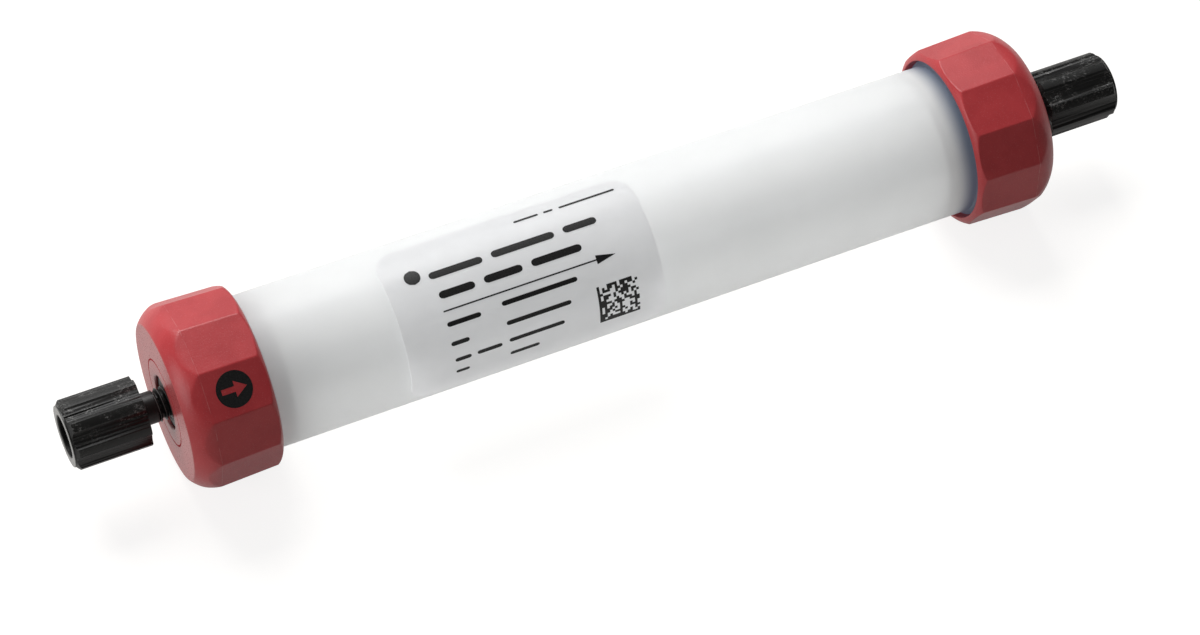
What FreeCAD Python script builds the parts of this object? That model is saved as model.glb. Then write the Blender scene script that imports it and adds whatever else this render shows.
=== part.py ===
import FreeCAD, Part

import math
import os

# A prepacked chromatography column, 16 mm bore and 100 mm bed, lying on a bench as it comes to rest.
# Millimetres and degrees. The column's axis runs along X, flow goes towards +X, and Z is up.
# Each end is built outwards-in: a distance from the cap's outer face, measured towards the bed.

# Packed bed and tube
BED_DIAMETER = 16.0
BED_LENGTH = 100.0
TUBE_WALL = 3.0
TUBE_THREAD_HEIGHT = 0.7
TUBE_THREAD_LENGTH = 7.0
TUBE_EDGE_CHAMFER = 0.5

# Screw caps, twelve-sided, closed at the factory
CAP_SIDES = 12
CAP_LENGTH = 12.65
CAP_CORNER_RADIUS = 13.5
CAP_FACE_RADIUS = 11.25
CAP_SHOULDER_LENGTH = 3.4
CAP_SHOULDER_BULGE = 0.38
CAP_DRAFT = 2.0
CAP_RUN_OUT_START = 3.6
CAP_RUN_OUT_RADIUS = 5.5
CAP_RIDGE_ROUND = 0.6
CAP_RIM_ROUND = 1.9
CAP_RIM_ROUND_LENGTH = 1.85
CAP_RIM_RADIUS = 13.45
CAP_END_WALL = 2.4
CAP_THREAD_CLEARANCE = 0.05
CAP_MOUTH_WIDENING = 0.15
CAP_MOUTH_DEPTH = 0.6
CAP_HOLE_RADIUS = 3.83
CAP_HOLE_CHAMFER = 0.3

# End pieces: a flange clamped between cap and tube, and a plunger in the bore
FLANGE_THICKNESS = 2.2
FLANGE_CLEARANCE = 0.85
SPIGOT_CLEARANCE = 0.12
SPIGOT_RECESS = 0.43
PLUNGER_CLEARANCE = 0.05
PLUNGER_LENGTH = 11.2
PLUNGER_CHAMFER = 0.4
CHANNEL_RADIUS = 0.5

# O-ring in the plunger's groove, drawn as squeezed
O_RING_SECTION = 1.8
O_RING_SQUEEZE = 0.25
GROOVE_OFFSET = 2.8
GROOVE_WIDTH = 2.4
SEAL_CONTACT_GAP = 0.01

# Flow distributor and frit, stacked in the plunger's recess
RECESS_WALL = 0.65
INSERT_CLEARANCE = 0.05
DISTRIBUTOR_THICKNESS = 0.9
FRIT_THICKNESS = 1.5
DISTRIBUTOR_GROOVES = 12
DISTRIBUTOR_GROOVE_WIDTH = 0.8
DISTRIBUTOR_GROOVE_DEPTH = 0.4
DISTRIBUTOR_HUB_RADIUS = 1.6
DISTRIBUTOR_EDGE = 0.45

# Threaded port for 10-32 UNF fittings
PORT_THREAD_RADIUS = 2.415
PORT_THREAD_CLEARANCE = 0.05
PORT_MOUTH_RADIUS = 3.1
PORT_THREAD_DEPTH = 7.8
PORT_CONE_RADIUS = 1.75
PORT_CONE_HALF_ANGLE = 20.0

# Stop plugs
PLUG_HEAD_RADIUS = 5.0
PLUG_HEAD_LENGTH = 11.0
PLUG_COLLAR_RADIUS = 4.42
PLUG_COLLAR_LENGTH = 0.25
PLUG_LAND_CHAMFER_LENGTH = 0.45
PLUG_FLUTES = 8
PLUG_FLUTE_RADIUS = 2.8
PLUG_FLUTE_DEPTH = 0.52
PLUG_BORE_RADIUS = 3.03
PLUG_BORE_DEPTH = 9.0
PLUG_BORE_DRAFT = 1.0
PLUG_BORE_FLOOR_CHAMFER = 0.5
PLUG_NECK_RADIUS = 2.28
PLUG_NECK_LENGTH = 1.5
PLUG_TIP_RADIUS = 0.75
PLUG_LEAD_CHAMFER = 0.4
PLUG_SEAT_GAP = 0.1
PLUG_HEAD_STANDOFF = 3.45

# Label wrapped round the tube
LABEL_LENGTH = 38.3
LABEL_HEIGHT = 26.2
LABEL_THICKNESS = 0.1
LABEL_CORNER_RADIUS = 3.8
LABEL_START = 31.9

# Turns about the axis, from +Y towards +Z
INLET_CAP_TURN = 270.0
OUTLET_CAP_TURN = 285.0
INLET_PLUG_TURN = 30.9
OUTLET_PLUG_TURN = 9.6
LABEL_TURN = 137.9

# Places along the column, from the inlet cap's outer face
BORE_RADIUS = BED_DIAMETER / 2
TUBE_RADIUS = BORE_RADIUS + TUBE_WALL
THREAD_CREST_RADIUS = TUBE_RADIUS + TUBE_THREAD_HEIGHT
FLANGE_FACE = CAP_END_WALL + FLANGE_THICKNESS
BED_START = FLANGE_FACE + PLUNGER_LENGTH
COLUMN_LENGTH = BED_LENGTH + 2 * BED_START
INLET_FACE_X = -COLUMN_LENGTH / 2
OUTLET_FACE_X = COLUMN_LENGTH / 2
CAP_RIDGE_REACH = CAP_CORNER_RADIUS - CAP_RIDGE_ROUND * (1 / math.cos(math.pi / CAP_SIDES) - 1)
AXIS_HEIGHT = CAP_RIDGE_REACH

# Sizes shared by pieces that fit each other
INSERT_SEAT_RADIUS = BORE_RADIUS - PLUNGER_CLEARANCE - RECESS_WALL
INSERT_RADIUS = INSERT_SEAT_RADIUS - INSERT_CLEARANCE
RECESS_FLOOR = BED_START - DISTRIBUTOR_THICKNESS - FRIT_THICKNESS
GROOVE_START = FLANGE_FACE + GROOVE_OFFSET
GROOVE_FLOOR_RADIUS = BORE_RADIUS - O_RING_SECTION + O_RING_SQUEEZE
PORT_CONE_START = SPIGOT_RECESS + PORT_THREAD_DEPTH
CONE_SLOPE = math.tan(math.radians(PORT_CONE_HALF_ANGLE))
PLUG_THREAD_RADIUS = PORT_THREAD_RADIUS - PORT_THREAD_CLEARANCE

X_AXIS = FreeCAD.Vector(1, 0, 0)
ORIGIN = FreeCAD.Vector(0, 0, 0)


def point(along, radius):
    """A point of a section, by its place along the axis and its radius."""
    return FreeCAD.Vector(along, radius, 0)


def line(start, end):
    return Part.LineSegment(point(*start), point(*end)).toShape()


def arc(start, middle, end):
    return Part.Arc(point(*start), point(*middle), point(*end)).toShape()


def turned(edges):
    """The solid that a closed section of edges makes when it is turned about the axis."""
    return Part.Face(Part.Wire(edges)).revolve(ORIGIN, X_AXIS, 360)


def turned_outline(corners):
    """The solid turned from a closed outline of straight lines."""
    loop = corners + corners[:1]
    return turned([line(start, end) for start, end in zip(loop, loop[1:])])


def rod(radius, start, end):
    return Part.makeCylinder(radius, end - start, point(start, 0), X_AXIS)


def rotated(shape, angle):
    copy = shape.copy()
    copy.rotate(ORIGIN, X_AXIS, angle)
    return copy


def at_inlet(shape, turn=0.0):
    """Place an end's piece at the inlet, where it was drawn."""
    placed = rotated(shape, turn)
    placed.translate(FreeCAD.Vector(INLET_FACE_X, 0, AXIS_HEIGHT))
    return placed


def at_outlet(shape, turn=0.0):
    """Place an end's piece at the outlet, turned end for end about the vertical."""
    placed = shape.copy()
    placed.rotate(ORIGIN, FreeCAD.Vector(0, 0, 1), 180)
    placed = rotated(placed, turn)
    placed.translate(FreeCAD.Vector(OUTLET_FACE_X, 0, AXIS_HEIGHT))
    return placed


def flat_distance(along):
    """How far the cap's flats are from the axis, which the mould's draft narrows towards the rim."""
    narrowing = (along - CAP_RUN_OUT_START) * math.tan(math.radians(CAP_DRAFT))
    return (CAP_CORNER_RADIUS - narrowing) * math.cos(math.pi / CAP_SIDES)


def flat_side():
    """A block whose top is one drafted flat that curls in towards the shoulder."""
    flat_end = (CAP_LENGTH, flat_distance(CAP_LENGTH))
    flat_start = (CAP_RUN_OUT_START, flat_distance(CAP_RUN_OUT_START))
    slope = math.atan2(flat_start[1] - flat_end[1], flat_end[0] - flat_start[0])
    centre = (
        flat_start[0] - CAP_RUN_OUT_RADIUS * math.sin(slope),
        flat_start[1] - CAP_RUN_OUT_RADIUS * math.cos(slope),
    )
    turn_to_face = math.acos(centre[0] / CAP_RUN_OUT_RADIUS)

    def on_run_out(angle):
        return (
            centre[0] - CAP_RUN_OUT_RADIUS * math.cos(angle),
            centre[1] + CAP_RUN_OUT_RADIUS * math.sin(angle),
        )

    tangent = math.pi / 2 + slope
    face_edge = on_run_out(turn_to_face)
    base = -2 * CAP_CORNER_RADIUS
    section = Part.Wire(
        [
            arc(face_edge, on_run_out((turn_to_face + tangent) / 2), flat_start),
            line(flat_start, flat_end),
            line(flat_end, (CAP_LENGTH, base)),
            line((CAP_LENGTH, base), (0.0, base)),
            line((0.0, base), face_edge),
        ]
    )
    block = Part.Face(section).extrude(FreeCAD.Vector(0, 0, 4 * CAP_CORNER_RADIUS))
    block.translate(FreeCAD.Vector(0, 0, -2 * CAP_CORNER_RADIUS))
    return block


def cap_grip():
    """The twelve flats, each with its run-out, with the ridges between them rounded."""
    side = flat_side()
    grip = rotated(side, 180.0 / CAP_SIDES)
    for number in range(1, CAP_SIDES):
        grip = grip.common(rotated(side, (number + 0.5) * 360.0 / CAP_SIDES))
    ridges = [edge for edge in grip.Edges if edge.BoundBox.XLength > CAP_RUN_OUT_START / 2]
    return grip.makeFillet(CAP_RIDGE_ROUND, ridges)


def cap_envelope():
    """The turned outside of the cap: a flat face, a bulging shoulder, a side and a round rim."""
    shoulder_middle = (
        CAP_SHOULDER_LENGTH / 2 - CAP_SHOULDER_BULGE / 2,
        (CAP_FACE_RADIUS + CAP_CORNER_RADIUS) / 2 + CAP_SHOULDER_BULGE,
    )
    face_edge = (0.0, CAP_FACE_RADIUS)
    shoulder_end = (CAP_SHOULDER_LENGTH, CAP_CORNER_RADIUS)
    rim_start = (CAP_LENGTH - CAP_RIM_ROUND_LENGTH, CAP_RIM_RADIUS)

    def on_rim(along_round):
        height = math.sqrt(CAP_RIM_ROUND**2 - along_round**2)
        return (rim_start[0] + along_round, rim_start[1] - CAP_RIM_ROUND + height)

    rim_end = on_rim(CAP_RIM_ROUND_LENGTH)
    return turned(
        [
            line((0.0, 0.0), face_edge),
            arc(face_edge, shoulder_middle, shoulder_end),
            line(shoulder_end, rim_start),
            arc(rim_start, on_rim(CAP_RIM_ROUND / math.sqrt(2)), rim_end),
            line(rim_end, (CAP_LENGTH, 0.0)),
            line((CAP_LENGTH, 0.0), (0.0, 0.0)),
        ]
    )


def cap_hollow():
    """The cap's inside: thread bore with a widened mouth, and the chamfered hole for the spigot."""
    bore_radius = THREAD_CREST_RADIUS + CAP_THREAD_CLEARANCE
    mouth_radius = bore_radius + CAP_MOUTH_WIDENING
    thread_bore = turned_outline(
        [
            (CAP_END_WALL, 0.0),
            (CAP_END_WALL, bore_radius),
            (CAP_LENGTH - CAP_MOUTH_DEPTH, bore_radius),
            (CAP_LENGTH, mouth_radius),
            (CAP_LENGTH, 0.0),
        ]
    )
    hole = turned_outline(
        [
            (0.0, 0.0),
            (0.0, CAP_HOLE_RADIUS + CAP_HOLE_CHAMFER),
            (CAP_HOLE_CHAMFER, CAP_HOLE_RADIUS),
            (CAP_END_WALL, CAP_HOLE_RADIUS),
            (CAP_END_WALL, 0.0),
        ]
    )
    return thread_bore.fuse(hole)


def screw_cap():
    """Red cap: drafted flats that run out in the round shoulder, over a hollow for the end piece."""
    return cap_envelope().common(cap_grip()).cut(cap_hollow())


def column_tube():
    """Plain tube with a thread band at each end, its bore chamfered for the plunger's O-ring."""
    half = COLUMN_LENGTH / 2
    end = FLANGE_FACE
    band_end = end + TUBE_THREAD_LENGTH
    band_foot = band_end + TUBE_THREAD_HEIGHT
    lead = end + TUBE_EDGE_CHAMFER
    half_tube = turned_outline(
        [
            (end, BORE_RADIUS + TUBE_EDGE_CHAMFER),
            (end, THREAD_CREST_RADIUS - TUBE_EDGE_CHAMFER),
            (lead, THREAD_CREST_RADIUS),
            (band_end, THREAD_CREST_RADIUS),
            (band_foot, TUBE_RADIUS),
            (half, TUBE_RADIUS),
            (half, BORE_RADIUS),
            (lead, BORE_RADIUS),
        ]
    )
    return at_inlet(half_tube).fuse(at_outlet(half_tube)).removeSplitter()


def packed_bed():
    """The bed of wet beads between the two frits."""
    return at_inlet(rod(BORE_RADIUS, BED_START, BED_START + BED_LENGTH))


def port_cutter():
    """The threaded port's hollow: countersunk mouth, thread bore, cone seat and flow channel."""
    countersink_end = SPIGOT_RECESS + PORT_MOUTH_RADIUS - PORT_THREAD_RADIUS
    cone_end = PORT_CONE_START + (PORT_CONE_RADIUS - CHANNEL_RADIUS) / CONE_SLOPE
    return turned_outline(
        [
            (SPIGOT_RECESS, 0.0),
            (SPIGOT_RECESS, PORT_MOUTH_RADIUS),
            (countersink_end, PORT_THREAD_RADIUS),
            (PORT_CONE_START, PORT_THREAD_RADIUS),
            (PORT_CONE_START, PORT_CONE_RADIUS),
            (cone_end, CHANNEL_RADIUS),
            (RECESS_FLOOR, CHANNEL_RADIUS),
            (RECESS_FLOOR, 0.0),
        ]
    )


def end_piece():
    """Flange, plunger and port spigot in one moulding, with the O-ring's groove and the frit's recess."""
    spigot_radius = CAP_HOLE_RADIUS - SPIGOT_CLEARANCE
    flange_radius = THREAD_CREST_RADIUS + CAP_THREAD_CLEARANCE - FLANGE_CLEARANCE
    plunger_radius = BORE_RADIUS - PLUNGER_CLEARANCE
    groove_end = GROOVE_START + GROOVE_WIDTH
    body = turned_outline(
        [
            (SPIGOT_RECESS, 0.0),
            (SPIGOT_RECESS, spigot_radius),
            (CAP_END_WALL, spigot_radius),
            (CAP_END_WALL, flange_radius),
            (FLANGE_FACE, flange_radius),
            (FLANGE_FACE, plunger_radius),
            (GROOVE_START, plunger_radius),
            (GROOVE_START, GROOVE_FLOOR_RADIUS),
            (groove_end, GROOVE_FLOOR_RADIUS),
            (groove_end, plunger_radius),
            (BED_START - PLUNGER_CHAMFER, plunger_radius),
            (BED_START, plunger_radius - PLUNGER_CHAMFER),
            (BED_START, INSERT_SEAT_RADIUS),
            (RECESS_FLOOR, INSERT_SEAT_RADIUS),
            (RECESS_FLOOR, 0.0),
        ]
    )
    return body.cut(port_cutter())


def o_ring():
    """The O-ring squeezed flat on the groove's floor and the tube's bore, its section's area kept."""
    height = O_RING_SECTION - O_RING_SQUEEZE - 2 * SEAL_CONTACT_GAP
    corner = height / 4
    width = (math.pi * O_RING_SECTION**2 / 4 + 2 * corner**2) / height
    start = GROOVE_START + (GROOVE_WIDTH - width) / 2
    end = start + width
    inner = GROOVE_FLOOR_RADIUS + SEAL_CONTACT_GAP
    outer = inner + height
    return turned_outline(
        [
            (start, inner + corner),
            (start, outer - corner),
            (start + corner, outer),
            (end - corner, outer),
            (end, outer - corner),
            (end, inner + corner),
            (end - corner, inner),
            (start + corner, inner),
        ]
    )


def flow_distributor():
    """Disc that spreads the flow from the channel over the frit through radial grooves."""
    start = RECESS_FLOOR
    end = start + DISTRIBUTOR_THICKNESS
    disc = rod(INSERT_RADIUS, start, end).cut(rod(CHANNEL_RADIUS, start, end))
    groove_floor = end - DISTRIBUTOR_GROOVE_DEPTH
    hub = rod(DISTRIBUTOR_HUB_RADIUS, groove_floor, end)
    groove_length = INSERT_RADIUS - DISTRIBUTOR_EDGE
    cutters = [hub]
    for number in range(DISTRIBUTOR_GROOVES):
        groove = Part.makeBox(
            DISTRIBUTOR_GROOVE_DEPTH,
            groove_length,
            DISTRIBUTOR_GROOVE_WIDTH,
            FreeCAD.Vector(groove_floor, 0, -DISTRIBUTOR_GROOVE_WIDTH / 2),
        )
        cutters.append(rotated(groove, number * 360.0 / DISTRIBUTOR_GROOVES))
    return disc.cut(cutters)


def frit():
    """Sintered porous disc that holds the beads back, flush with the plunger's end."""
    return rod(INSERT_RADIUS, BED_START - FRIT_THICKNESS, BED_START)


def plug_body(head_outer, head_inner):
    """The stop plug's turned form: head with a collar, neck, threaded shank and coned tip."""
    collar_end = head_outer + PLUG_COLLAR_LENGTH
    thread_end = PORT_CONE_START - PLUG_SEAT_GAP
    neck_end = head_inner + PLUG_NECK_LENGTH
    cone_base = PORT_CONE_RADIUS - PLUG_SEAT_GAP / math.cos(math.radians(PORT_CONE_HALF_ANGLE))
    tip = thread_end + (cone_base - PLUG_TIP_RADIUS) / CONE_SLOPE
    return turned_outline(
        [
            (head_outer, 0.0),
            (head_outer, PLUG_COLLAR_RADIUS),
            (collar_end, PLUG_COLLAR_RADIUS),
            (collar_end + PLUG_LAND_CHAMFER_LENGTH, PLUG_HEAD_RADIUS),
            (head_inner, PLUG_HEAD_RADIUS),
            (head_inner, PLUG_NECK_RADIUS),
            (neck_end, PLUG_NECK_RADIUS),
            (neck_end, PLUG_THREAD_RADIUS),
            (thread_end - PLUG_LEAD_CHAMFER, PLUG_THREAD_RADIUS),
            (thread_end, PLUG_THREAD_RADIUS - PLUG_LEAD_CHAMFER),
            (thread_end, cone_base),
            (tip, PLUG_TIP_RADIUS),
            (tip, 0.0),
        ]
    )


def plug_bore(head_outer):
    """The deep blind hole in the head, drafted, with a chamfered floor."""
    floor = head_outer + PLUG_BORE_DEPTH
    floor_radius = PLUG_BORE_RADIUS - PLUG_BORE_DEPTH * math.tan(math.radians(PLUG_BORE_DRAFT))
    return turned_outline(
        [
            (head_outer, 0.0),
            (head_outer, PLUG_BORE_RADIUS),
            (floor - PLUG_BORE_FLOOR_CHAMFER, floor_radius),
            (floor, floor_radius - PLUG_BORE_FLOOR_CHAMFER),
            (floor, 0.0),
        ]
    )


def stop_plug():
    """Black moulded plug with a fluted head, screwed home in the port."""
    head_inner = -PLUG_HEAD_STANDOFF
    head_outer = head_inner - PLUG_HEAD_LENGTH
    body = plug_body(head_outer, head_inner)
    flute_centre_radius = PLUG_HEAD_RADIUS - PLUG_FLUTE_DEPTH + PLUG_FLUTE_RADIUS
    cutters = [plug_bore(head_outer)]
    for number in range(PLUG_FLUTES):
        flute = rod(PLUG_FLUTE_RADIUS, head_outer, head_inner)
        flute.translate(FreeCAD.Vector(0, flute_centre_radius, 0))
        cutters.append(rotated(flute, (number + 0.5) * 360.0 / PLUG_FLUTES))
    return body.cut(cutters)


def label_corner(along, turn, along_side, turn_side):
    """What is trimmed from one corner of the label to round it."""
    radius = LABEL_CORNER_RADIUS
    reach = TUBE_RADIUS + 2 * LABEL_THICKNESS
    swing = math.degrees(radius / (TUBE_RADIUS + LABEL_THICKNESS))
    centre = FreeCAD.Vector(along - along_side * radius, 0, 0)
    block = Part.makeBox(2 * radius, 2 * radius, reach, centre - FreeCAD.Vector(radius, radius, 0))
    keep = Part.makeCylinder(radius, reach, centre, FreeCAD.Vector(0, 0, 1))
    inner_side = Part.makeBox(
        2 * radius,
        2 * radius,
        reach,
        centre - FreeCAD.Vector((1 + along_side) * radius, radius, 0),
    )
    inner_edge = Part.makeBox(
        2 * radius,
        2 * radius,
        reach,
        centre - FreeCAD.Vector(radius, (1 - turn_side) * radius, 0),
    )
    trim = block.cut([keep, inner_side, inner_edge])
    return rotated(trim, turn - turn_side * swing - 90.0)


def label():
    """Film label wrapped round the front of the tube, with rounded corners."""
    outer = TUBE_RADIUS + LABEL_THICKNESS
    span = math.degrees(LABEL_HEIGHT / outer)
    corner = FreeCAD.Vector
    outline = Part.makePolygon(
        [
            corner(LABEL_START, TUBE_RADIUS, 0),
            corner(LABEL_START, outer, 0),
            corner(LABEL_START + LABEL_LENGTH, outer, 0),
            corner(LABEL_START + LABEL_LENGTH, TUBE_RADIUS, 0),
            corner(LABEL_START, TUBE_RADIUS, 0),
        ]
    )
    sheet = Part.Face(outline).revolve(ORIGIN, X_AXIS, span)
    trims = []
    for along, along_side in ((LABEL_START, -1), (LABEL_START + LABEL_LENGTH, 1)):
        for turn, turn_side in ((0.0, -1), (span, 1)):
            trims.append(label_corner(along, turn, along_side, turn_side))
    return at_inlet(sheet.cut(trims), LABEL_TURN - span / 2)


def build_nodes():
    """Every separate piece of the column, by name."""
    cap = screw_cap()
    adapter = end_piece()
    seal = o_ring()
    distributor = flow_distributor()
    porous_disc = frit()
    plug = stop_plug()
    return {
        "column_tube": column_tube(),
        "packed_bed": packed_bed(),
        "inlet_screw_cap": at_inlet(cap, INLET_CAP_TURN),
        "outlet_screw_cap": at_outlet(cap, OUTLET_CAP_TURN),
        "inlet_end_piece": at_inlet(adapter),
        "outlet_end_piece": at_outlet(adapter),
        "inlet_o_ring": at_inlet(seal),
        "outlet_o_ring": at_outlet(seal),
        "inlet_flow_distributor": at_inlet(distributor),
        "outlet_flow_distributor": at_outlet(distributor),
        "inlet_frit": at_inlet(porous_disc),
        "outlet_frit": at_outlet(porous_disc),
        "inlet_stop_plug": at_inlet(plug, INLET_PLUG_TURN),
        "outlet_stop_plug": at_outlet(plug, OUTLET_PLUG_TURN),
        "label": label(),
    }


os.makedirs("parts", exist_ok=True)
for name, shape in build_nodes().items():
    if shape.ShapeType == "Compound" and len(shape.Solids) == 1:
        shape = shape.Solids[0]
    shape.exportStep(os.path.join("parts", name + ".step"))
    box = shape.BoundBox
    print(
        f"{name}: {len(shape.Solids)} solid, {shape.Volume:.1f} cubic mm, valid {shape.isValid()},"
        f" X {box.XMin:.2f} to {box.XMax:.2f}, Z {box.ZMin:.2f} to {box.ZMax:.2f}"
    )
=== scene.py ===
"""Looks for a prepacked chromatography column that lies on a pale bench.

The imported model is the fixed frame. Every shape here is modelled in millimetres on an axis of its own,
measured from the outer face of the screw cap towards the bed, and is then placed in the frame in metres.
"""

import logging
import math
import random
from collections.abc import Iterator
from contextlib import contextmanager
from dataclasses import dataclass, field
from enum import Enum
from functools import cached_property

import bpy
from mathutils import Matrix, Vector


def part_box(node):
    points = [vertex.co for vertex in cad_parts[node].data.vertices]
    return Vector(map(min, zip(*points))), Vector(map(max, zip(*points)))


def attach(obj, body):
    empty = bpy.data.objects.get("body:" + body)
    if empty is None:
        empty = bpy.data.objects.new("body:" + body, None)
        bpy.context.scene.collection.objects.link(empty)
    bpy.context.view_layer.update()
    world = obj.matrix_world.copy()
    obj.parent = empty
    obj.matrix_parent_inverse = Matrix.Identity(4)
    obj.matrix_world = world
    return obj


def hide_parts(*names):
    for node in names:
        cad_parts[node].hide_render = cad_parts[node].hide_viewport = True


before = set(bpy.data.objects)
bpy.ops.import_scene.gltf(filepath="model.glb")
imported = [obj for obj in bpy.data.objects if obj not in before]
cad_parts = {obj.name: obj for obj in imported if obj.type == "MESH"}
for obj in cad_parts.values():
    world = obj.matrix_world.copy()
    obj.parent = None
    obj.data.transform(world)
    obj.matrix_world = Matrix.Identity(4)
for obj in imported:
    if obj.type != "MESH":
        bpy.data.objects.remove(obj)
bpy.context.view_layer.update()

LOG = logging.getLogger("column")
METRES_PER_MM = 0.001
MM_PER_METRE = 1000.0
TAU = 2.0 * math.pi
WELD_MM = 0.0005
SLIVER_MM = 0.0001

Outline = list[tuple[float, float]]
Pair = tuple[float, float]
Triple = tuple[float, float, float]
Colour = tuple[float, float, float, float]
Bar = tuple[float, float, float, float]
Socket = bpy.types.NodeSocket

WHITE: Colour = (1.0, 1.0, 1.0, 1.0)


class End(Enum):
    """The two ends of the column."""

    INLET = "inlet"
    OUTLET = "outlet"


class Slot(Enum):
    """The record's material slots that new pieces take their finish from."""

    CAP = "cap_plastic"
    PLUG = "plug_plastic"
    LABEL = "label_film"


def mm(length: float) -> float:
    """A length in millimetres as metres."""
    return length * METRES_PER_MM


def grey(level: float) -> Colour:
    """A grey of one level, also used as a plain value in a blend."""
    return (level, level, level, 1.0)


def only(piece: bpy.types.Object) -> None:
    """Select one object, and nothing else, and make it the active one.

    Args:
        piece: the object.
    """
    bpy.ops.object.select_all(action="DESELECT")
    piece.select_set(True)
    bpy.context.view_layer.objects.active = piece


def new_piece(
    name: str, vertices: list[Triple], edges: list[tuple[int, int]], faces: list[list[int]]
) -> bpy.types.Object:
    """Start an object from points, the lines between them and their faces.

    Args:
        name: the name of the object and of its mesh.
        vertices: the points.
        edges: pairs of points' numbers.
        faces: lists of points' numbers.

    Returns:
        The new object, in the scene.
    """
    mesh = bpy.data.meshes.new(name)
    mesh.from_pydata(vertices, edges, faces)
    piece = bpy.data.objects.new(name, mesh)
    bpy.context.scene.collection.objects.link(piece)
    return piece


@contextmanager
def edit_mode(piece: bpy.types.Object) -> Iterator[None]:
    """Work in edit mode on the whole of a piece, which then has its faces turned outwards.

    Args:
        piece: the object that is worked on.
    """
    only(piece)
    bpy.ops.object.mode_set(mode="EDIT")
    bpy.ops.mesh.select_all(action="SELECT")
    yield
    bpy.ops.mesh.select_all(action="SELECT")
    bpy.ops.mesh.normals_make_consistent(inside=False)
    bpy.ops.object.mode_set(mode="OBJECT")


def apply_modifier(piece: bpy.types.Object, kind: str, **settings: object) -> None:
    """Add a modifier to a piece with its settings and apply it.

    Args:
        piece: the object that is changed.
        kind: the modifier's type, as Blender names it.
        settings: the modifier's properties by name.
    """
    only(piece)
    modifier = piece.modifiers.new(kind.title(), kind)
    for name, value in settings.items():
        setattr(modifier, name, value)
    bpy.ops.object.modifier_apply(modifier=modifier.name)


def combine(piece: bpy.types.Object, other: bpy.types.Object, operation: str) -> None:
    """Cut, join or intersect a piece with another, which is used up.

    Args:
        piece: the object that is changed.
        other: the object that cuts it or joins it.
        operation: DIFFERENCE, UNION or INTERSECT.
    """
    apply_modifier(piece, "BOOLEAN", operation=operation, object=other, solver="EXACT")
    bpy.data.objects.remove(other, do_unlink=True)


def soften(piece: bpy.types.Object, smooth_below: float) -> None:
    """Shade a piece smooth, with its large faces kept flat.

    Args:
        piece: the object that is shaded.
        smooth_below: the angle between two faces, in degrees, from which their edge stays sharp.
    """
    only(piece)
    bpy.ops.object.shade_smooth_by_angle(angle=math.radians(smooth_below), keep_sharp_edges=True)
    apply_modifier(piece, "WEIGHTED_NORMAL", keep_sharp=True, weight=100)


def round_corners(corners: list[Triple], segments: int) -> Outline:
    """Round the corners of a closed outline.

    Args:
        corners: for each corner its place along the axis, its radius, and how far it is rounded.
        segments: how many straight pieces stand for each arc.

    Returns:
        The outline's points, with each rounded corner as an arc.
    """
    points: Outline = []
    count = len(corners)
    for number, (along, radius, rounding) in enumerate(corners):
        here = Vector((along, radius))
        if rounding <= 0.0:
            points.append((along, radius))
            continue
        before = (Vector(corners[number - 1][:2]) - here).normalized()
        after = (Vector(corners[(number + 1) % count][:2]) - here).normalized()
        half = before.angle(after) / 2.0
        centre = here + (before + after).normalized() * (rounding / math.sin(half))
        first = here + before * (rounding / math.tan(half)) - centre
        last = here + after * (rounding / math.tan(half)) - centre
        sweep = first.angle_signed(last)
        for step in range(segments + 1):
            spoke = first.copy()
            spoke.rotate(Matrix.Rotation(-sweep * step / segments, 2))
            points.append((centre.x + spoke.x, centre.y + spoke.y))
    return points


def turn(name: str, outline: Outline, steps: int) -> bpy.types.Object:
    """Spin a closed outline about the X axis, as on a lathe.

    Args:
        name: the new object's name.
        outline: points of the section, each a place along the axis and a radius.
        steps: how many facets go round.

    Returns:
        The turned solid, with its faces pointing outwards.
    """
    count = len(outline)
    edges = [(number, (number + 1) % count) for number in range(count)]
    piece = new_piece(name, [(along, radius, 0.0) for along, radius in outline], edges, [])
    with edit_mode(piece):
        bpy.ops.mesh.spin(steps=steps, angle=TAU, center=(0.0, 0.0, 0.0), axis=(1.0, 0.0, 0.0))
        bpy.ops.mesh.select_all(action="SELECT")
        bpy.ops.mesh.remove_doubles(threshold=WELD_MM)
        bpy.ops.mesh.dissolve_degenerate(threshold=SLIVER_MM)
    return piece


def twin(piece: bpy.types.Object, name: str) -> bpy.types.Object:
    """Copy a piece, with a mesh of its own.

    Args:
        piece: the piece that is copied.
        name: the copy's name.

    Returns:
        The copy, in the scene.
    """
    copy = piece.copy()
    copy.data = piece.data.copy()
    copy.name = name
    copy.data.name = name
    bpy.context.scene.collection.objects.link(copy)
    return copy


def complete(piece: bpy.types.Object, placing: Matrix, material: bpy.types.Material) -> None:
    """Put a modelled piece in its place, so that the place is in its mesh, and give it its material.

    Args:
        piece: the piece, in millimetres on its own axis.
        placing: the matrix that takes it into the frame.
        material: the piece's only material.
    """
    piece.matrix_world = placing
    only(piece)
    bpy.ops.object.transform_apply(location=True, rotation=True, scale=True)
    piece.data.materials.clear()
    piece.data.materials.append(material)
    LOG.info("%s: %d faces", piece.name, len(piece.data.polygons))


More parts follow.
